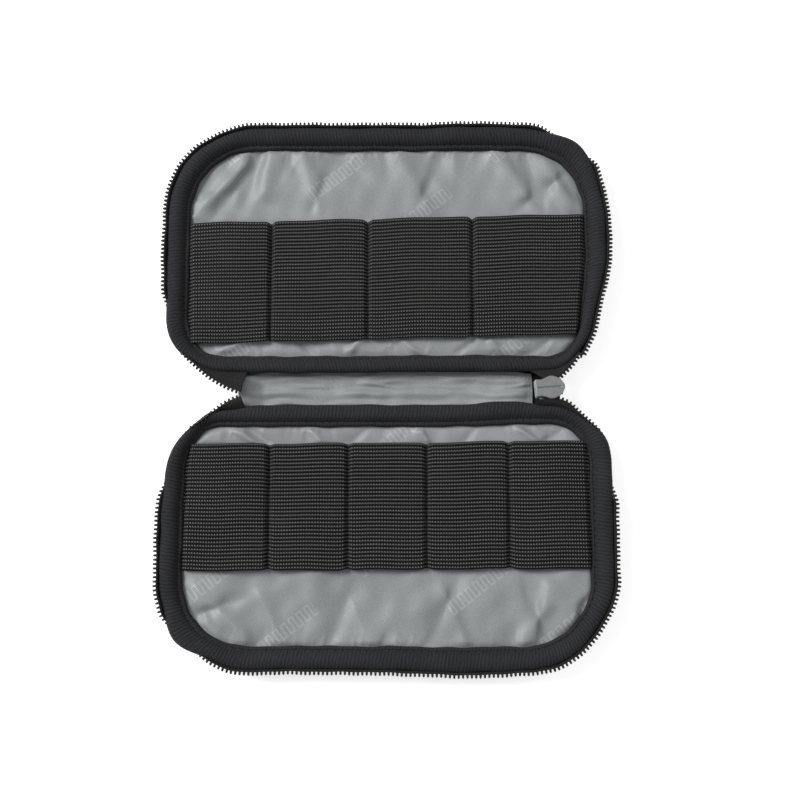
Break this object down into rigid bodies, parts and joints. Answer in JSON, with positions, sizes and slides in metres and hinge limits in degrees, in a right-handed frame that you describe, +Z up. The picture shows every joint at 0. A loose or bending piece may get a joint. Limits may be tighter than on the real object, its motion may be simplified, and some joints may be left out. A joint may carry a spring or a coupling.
{
  "type": "cable organizer pouch",
  "caption": "Zip-round fabric pouch opened flat: two padded halves joined by a fabric spine, each with an elastic band sewn into loops, bound rims and a coil zipper.",
  "frame": {"origin": "on the table, under the middle of the spine, with the pouch opened flat and its inside up", "axes": "+X to the right along the spine, towards the zipper slider; +Y towards the far half with four loops; -Y towards the near half with five loops; +Z up"},
  "size_m": [0.169, 0.2064, 0.011],
  "materials": {
    "cover_fabric": "black woven polyester, matte",
    "foam": "grey padding, hidden",
    "lining_satin": "cool grey satin with a faint woven-in motif",
    "woven_elastic": "black ribbed woven elastic with lighter zigzag rows",
    "knit_binding": "black knitted binding, ribs across its length",
    "zipper_tape": "black woven zipper tape",
    "nylon_coil": "black nylon coil",
    "painted_slider": "grey painted die-cast metal",
    "pull_rubber": "black moulded rubber"
  },
  "bodies": {
    "base": {"base_outer_cover": "cover_fabric", "base_foam_pad": "foam", "base_lining": "lining_satin", "base_elastic_band": "woven_elastic", "base_binding": "knit_binding", "base_zipper_tape": "zipper_tape", "base_zipper_coil": "nylon_coil"},
    "spine": {"spine_cover": "cover_fabric", "spine_lining": "lining_satin", "base_tape_end_left": "zipper_tape", "base_tape_end_right": "zipper_tape", "top_tape_end_left": "zipper_tape", "top_tape_end_right": "zipper_tape"},
    "top": {"top_outer_cover": "cover_fabric", "top_foam_pad": "foam", "top_lining": "lining_satin", "top_elastic_band": "woven_elastic", "top_binding": "knit_binding", "top_zipper_tape": "zipper_tape", "top_zipper_coil": "nylon_coil"},
    "slider": {"slider_body": "painted_slider", "slider_bridge": "painted_slider"},
    "pull_link": {"pull_link": "painted_slider"},
    "pull_tab": {"pull_tab": "pull_rubber"}
  },
  "joints": [
    {"name": "spine_fold", "type": "hinge", "parent": "base", "child": "spine", "pos_m": [0, -0.00825, 0.003], "axis": [1, 0, 0], "range_deg": [0, 90], "deforming": ["base_tape_end_left", "base_tape_end_right"]},
    {"name": "top_fold", "type": "hinge", "parent": "spine", "child": "top", "pos_m": [0, 0.00825, 0.003], "axis": [1, 0, 0], "range_deg": [0, 90], "deforming": ["top_tape_end_left", "top_tape_end_right"]},
    {"name": "slider_travel", "type": "slide", "parent": "spine", "child": "slider", "axis": [1, 0, 0], "range_m": [0, 0.004]},
    {"name": "pull_swing", "type": "hinge", "parent": "slider", "child": "pull_link", "pos_m": [0.0615, 0, 0.00555], "axis": [0, -1, 0], "range_deg": [0, 100]},
    {"name": "tab_swing", "type": "hinge", "parent": "pull_link", "child": "pull_tab", "pos_m": [0.0572, 0, 0.0017], "axis": [0, -1, 0], "range_deg": [0, 60]}
  ],
  "couplings": [
    {"joint": "top_fold", "follows": "spine_fold", "ratio": 1}
  ]
}
